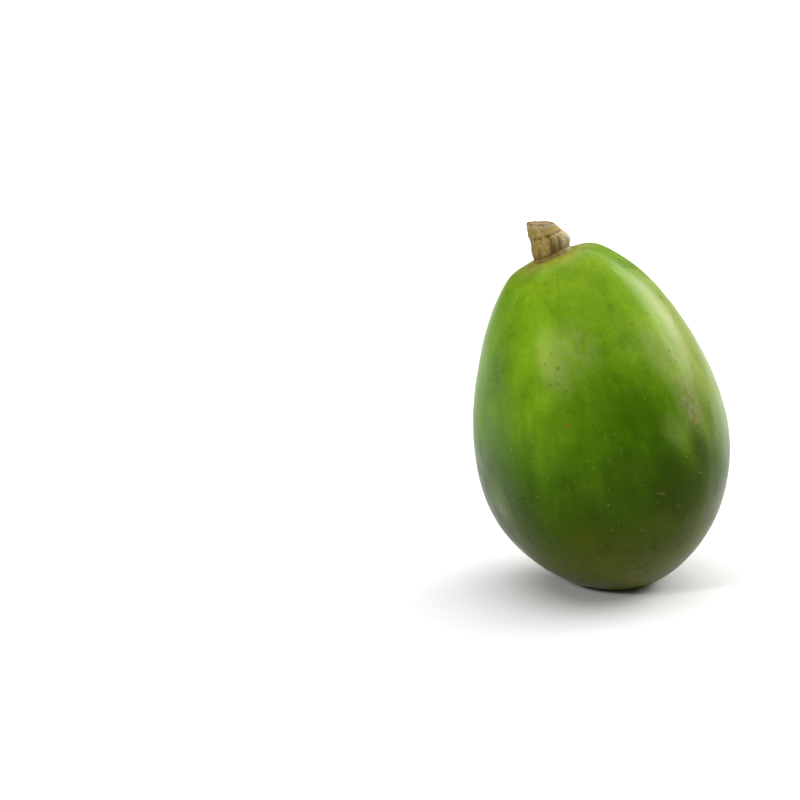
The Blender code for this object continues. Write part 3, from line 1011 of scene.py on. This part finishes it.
def stalk_material(stalk):
    """Dry tan bark, dark in its crevices, bleached near the cut and darker towards its foot as painted shade,
    with fibrous wood on the cut end.
    """
    material, tree, shader = principled("ambarella_bark")
    place = add_node(tree, "ShaderNodeAttribute", attribute_name="own_place").outputs["Vector"]
    share = quality(tree, "share")
    crevice = quality(tree, "crevice")
    fibres = add_node(tree, "ShaderNodeMapping", {"Vector": place, "Scale": (1.0, 1.0, 0.18)}).outputs[0]
    grain = cloud(tree, fibres, 0.35 * MM, 5.0, 0.6)
    blotch = cloud(tree, place, 1.3 * MM, 4.0, 0.6)

    bark = layered(tree, stalk.bark_brown, (
        (blotch, (0.40, 0.65, 0.0, 0.24), stalk.bleached), (share, (0.83, 0.97, 0.0, 0.62), stalk.bleached),
        # Darker towards the foot: painted shade where the stalk meets the fruit
        (share, (0.26, 0.02, 0.0, 0.80), stalk.crevice_brown)))
    bark = tint(tree, times(tree, quality(tree, "darker_side"), 0.55), bark, stalk.crevice_brown)
    pale = times(tree, quality(tree, "callus"), rise(tree, blotch, 0.32, 0.60, 0.55, 1.0))
    bark = tint(tree, times(tree, pale, 0.92), bark, stalk.callus)
    bark = layered(tree, bark, (
        (crevice, (0.45, 1.0, 0.0, 0.85), stalk.crevice_brown),
        (grain, (0.55, 0.30, 0.0, 0.45), stalk.crevice_brown)))
    fleck = dots(tree, place, 0.9 * MM, 0.16 * MM, 0.5)
    bark = tint(tree, times(tree, fleck, 0.6), bark, stalk.callus)

    # Cut wood, with a dark pith and a dark rim
    reach = quality(tree, "reach")
    speckle = cloud(tree, place, 0.22 * MM, 4.0, 0.7)
    wood = layered(tree, stalk.wood, (
        (speckle, (0.40, 0.65), stalk.bark_brown), (reach, (0.34, 0.12), stalk.crevice_brown),
        (reach, (0.80, 0.97, 0.0, 0.8), stalk.crevice_brown)))
    cut = quality(tree, "cut")
    tree.links.new(tint(tree, cut, bark, wood), shader.inputs["Base Color"])

    rough = rise(tree, grain, 0.3, 0.7, stalk.roughness - 0.10, stalk.roughness + 0.08)
    tree.links.new(rough, shader.inputs["Roughness"])
    height = heaped(tree, ((grain, 1.0), (speckle, 0.5), (fleck, 0.6)))
    tree.links.new(bumped(tree, height, BARK_RELIEF, 0.9), shader.inputs["Normal"])
    shader.inputs["Specular IOR Level"].default_value = BARK_GLOSS
    return material


class AMBARELLA_OT_stalk(bpy.types.Operator):
    """Make the stalk with its bark and cut end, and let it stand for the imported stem"""

    bl_idname = "ambarella.stalk"
    bl_label = "Stalk"

    def execute(self, context):
        form = context.scene.ambarella_form
        stalk = context.scene.ambarella_stalk
        places, faces, qualities = stalk_mesh(stalk)
        axes = np.array(stalk_axes(form, stalk))
        made = smooth_object("stalk", places @ axes[:3, :3].T + axes[:3, 3], faces, qualities)
        made.data.materials.append(stalk_material(stalk))
        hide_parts(STALK_NODE)
        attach(made, BODY)
        return {'FINISHED'}


# ---------------------------------------------------------------- the collar


def near_skin(form, across, aside):
    """Places on the skin near the stem end, for distances from the fruit's own axis."""
    polars = np.linspace(0.0, NEAR_STEM, NEAR_STEPS)
    polar = np.interp(np.hypot(across, aside), egg_radius(form, polars), polars)
    places, _ = skin_places(form, polar, np.arctan2(aside, across))
    return places


def collar_mesh(form, stalk):
    """Places, faces and qualities of the corky collar: five blunt lobes that lie on the skin."""
    columns = stalk.segments
    rows = stalk.collar_rings
    turn = np.tile(np.arange(columns) * 2.0 * math.pi / columns, rows)
    reach = np.repeat(np.linspace(0.0, 1.0, rows), columns)
    unit = np.stack([np.cos(turn), np.sin(turn), np.zeros_like(turn)], axis=-1)
    lobes = 0.5 + 0.5 * np.cos(RIB_COUNT * (turn - form.rib_azimuth))
    ragged = rough_noise(unit, COLLAR_WAVE, COLLAR_SEED)
    plain, lobed, torn = OUTLINE_SHARES
    outer = stalk.collar_radius * (plain + lobed * lobes + torn * ragged)
    inner = SHAFT_RADII[0] - COLLAR_INSET
    radius = inner + reach * (outer - inner)
    across = radius * np.cos(turn) - form.stem_offset
    aside = radius * np.sin(turn)
    skin = near_skin(form, across, aside)
    bumps = rough_noise(skin, COLLAR_BUMPS, BUMP_SEED)
    plain, lobed = THICK_SHARES
    thick = stalk.collar_height * (1.0 - fade(0.0, 1.0, reach)) * (plain + lobed * lobes)
    thick = thick + BUMP_HEIGHT * (1.0 - reach**6) * (1.0 + 0.9 * bumps) - EDGE_SINK * reach**8
    pale_side = bell(angle_from(stalk.callus_turn, turn), 0.0, PALE_SPREAD)
    thick = thick + PALE_HEIGHT * pale_side * (1.0 - reach**3)
    upward = np.array(Vector((-math.sin(form.lean), 0.0, math.cos(form.lean))))
    places = skin + upward * thick[:, None]
    qualities = {"reach": reach, "crevice": np.clip(0.4 - 0.7 * bumps, 0.0, 1.0),
                 "callus": pale_side}
    return places, grid_faces(rows, columns), qualities


def collar_material(stalk):
    """Dry cork, pale on one side, darkened to brown where it meets the stalk as painted shade."""
    material, tree, shader = principled("ambarella_collar")
    place = object_place(tree)
    blotch = cloud(tree, place, 0.9 * MM, 5.0, 0.65)
    fine = cloud(tree, place, 0.25 * MM, 4.0, 0.6)
    reach = quality(tree, "reach")
    cork = tint(tree, 0.55, stalk.bark_brown, stalk.crevice_brown)
    cork = layered(tree, cork, ((blotch, (0.45, 0.65, 0.0, 0.7), stalk.bark_brown),))
    cork = tint(tree, times(tree, quality(tree, "callus"), 0.55), cork, stalk.callus)
    cork = layered(tree, cork, (
        # Darker towards the stalk: painted shade
        (reach, (0.50, 0.15), stalk.crevice_brown),
        (quality(tree, "crevice"), (0.5, 1.0, 0.0, 0.8), stalk.crevice_brown),
        (fine, (0.50, 0.30, 0.0, 0.4), stalk.crevice_brown)))
    tree.links.new(cork, shader.inputs["Base Color"])
    tree.links.new(rise(tree, blotch, 0.3, 0.7, stalk.roughness - 0.08, stalk.roughness + 0.08),
                   shader.inputs["Roughness"])
    tree.links.new(bumped(tree, sum_of(tree, fine, blotch), BARK_RELIEF, 0.9), shader.inputs["Normal"])
    shader.inputs["Specular IOR Level"].default_value = BARK_GLOSS
    return material


class AMBARELLA_OT_collar(bpy.types.Operator):
    """Make the corky collar where the stalk leaves the skin"""

    bl_idname = "ambarella.collar"
    bl_label = "Collar"

    def execute(self, context):
        form = context.scene.ambarella_form
        stalk = context.scene.ambarella_stalk
        made = smooth_object("stalk_collar", *collar_mesh(form, stalk))
        made.data.materials.append(collar_material(stalk))
        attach(made, BODY)
        return {'FINISHED'}


# ---------------------------------------------------------------- the stage


def softbox(name, target, offset, size, power, tone=(1.0, 1.0, 1.0)):
    """A rectangular area light at this offset from its target, which it faces and doesn't show itself."""
    lamp = bpy.data.lights.new(name, 'AREA')
    lamp.shape = 'RECTANGLE'
    lamp.size, lamp.size_y = size
    lamp.energy = power
    lamp.color = tone
    made = bpy.data.objects.new(name, lamp)
    made.location = target + Vector(offset)
    made.rotation_euler = Vector(offset).to_track_quat('Z', 'Y').to_euler()
    made.visible_camera = False
    bpy.context.scene.collection.objects.link(made)
    return made


class AMBARELLA_OT_stage(bpy.types.Operator):
    """Make the floor, the lights and the camera"""

    bl_idname = "ambarella.stage"
    bl_label = "Stage"

    def execute(self, context):
        form = context.scene.ambarella_form
        stage = context.scene.ambarella_stage
        scene = context.scene

        # Floor
        bpy.ops.mesh.primitive_circle_add(vertices=FLOOR_SIDES, radius=FLOOR_RADIUS, fill_type='NGON')
        floor = context.active_object
        floor.name = "floor"
        material, tree, shader = principled("pale_floor")
        shader.inputs["Base Color"].default_value = (*stage.floor_colour, 1.0)
        shader.inputs["Roughness"].default_value = 1.0
        shader.inputs["Specular IOR Level"].default_value = 0.0
        floor.data.materials.append(material)

        # Even light from all round; the camera sees it as white
        world = bpy.data.worlds.new("surroundings")
        scene.world = world
        world.use_nodes = True
        tree = world.node_tree
        seen = tree.nodes.new("ShaderNodeLightPath").outputs["Is Camera Ray"]
        background = tree.nodes["Background"]
        background.inputs["Color"].default_value = (1.0, 1.0, 1.0, 1.0)
        tree.links.new(rise(tree, seen, 0.0, 1.0, stage.sky, 1.0), background.inputs["Strength"])

        # Lights
        middle = Vector(form.centre)
        sky = bpy.data.lights.new("top_light", 'SUN')
        sky.energy = stage.top_light
        sky.angle = stage.top_spread
        overhead = bpy.data.objects.new("top_light", sky)
        overhead.rotation_euler = Vector(TOP_FROM).to_track_quat('Z', 'Y').to_euler()
        scene.collection.objects.link(overhead)
        softbox("back_light", middle, BACK_FROM, BACK_SIZE, stage.back_light, stage.warmth)
        softbox("left_light", middle, LEFT_FROM, LEFT_SIZE, stage.left_light)

        # Camera: level with the view that looks along +Y, aimed so that the fruit stands right of the middle
        lens = bpy.data.cameras.new("camera")
        lens.lens = stage.lens
        camera = bpy.data.objects.new("camera", lens)
        scene.collection.objects.link(camera)
        distance = stage.frame_width / 2.0 / (lens.sensor_width / 2.0 / stage.lens)
        low, high = CAD_BOX
        subject = (low + high) / 2.0
        back = Vector((0.0, -math.cos(stage.elevation), math.sin(stage.elevation)))
        up = Vector((0.0, math.sin(stage.elevation), math.cos(stage.elevation)))
        camera.location = subject + back * distance
        aim = subject + Vector((-stage.fruit_right, 0.0, 0.0)) + up * stage.fruit_down
        aimed = (aim - camera.location).to_track_quat('-Z', 'Y')
        camera.rotation_euler = (aimed @ Quaternion((0.0, 0.0, 1.0), stage.roll)).to_euler()
        lens.clip_start = 0.01
        lens.clip_end = 20.0
        lens.dof.use_dof = False
        scene.camera = camera
        scene.view_settings.view_transform = 'Standard'
        return {'FINISHED'}


class AMBARELLA_PT_maker(bpy.types.Panel):
    """Lists the makers in the 3D view's sidebar"""

    bl_idname = "AMBARELLA_PT_maker"
    bl_label = "Ambarella"
    bl_space_type = 'VIEW_3D'
    bl_region_type = 'UI'
    bl_category = "Ambarella"

    def draw(self, context):
        layout = self.layout
        for operators, settings in PANEL_BOXES:
            box = layout.box()
            for operator in operators:
                box.operator(operator)
            for group in (getattr(context.scene, name) for name in settings):
                for name in group.__annotations__:
                    box.prop(group, name)


SETTINGS = {
    "ambarella_form": AmbarellaForm,
    "ambarella_skin": AmbarellaSkin,
    "ambarella_stalk": AmbarellaStalk,
    "ambarella_stage": AmbarellaStage,
}
PANEL_BOXES = (
    (("ambarella.skin",), ("ambarella_form", "ambarella_skin")),
    (("ambarella.stalk", "ambarella.collar"), ("ambarella_stalk",)),
    (("ambarella.stage",), ("ambarella_stage",)),
)
CLASSES = (*SETTINGS.values(), AMBARELLA_OT_skin, AMBARELLA_OT_stalk, AMBARELLA_OT_collar,
           AMBARELLA_OT_stage, AMBARELLA_PT_maker)


def register():
    """Register the classes and hang the settings on the scene."""
    for made in CLASSES:
        bpy.utils.register_class(made)
    for name, group in SETTINGS.items():
        setattr(bpy.types.Scene, name, bpy.props.PointerProperty(type=group))


def unregister():
    """Undo register."""
    for name in SETTINGS:
        delattr(bpy.types.Scene, name)
    for made in reversed(CLASSES):
        bpy.utils.unregister_class(made)


def main():
    """Dress the frame and set the stage."""
    register()
    bpy.ops.ambarella.skin()
    bpy.ops.ambarella.stalk()
    bpy.ops.ambarella.collar()
    bpy.ops.ambarella.stage()


if __name__ == "__main__":
    main()
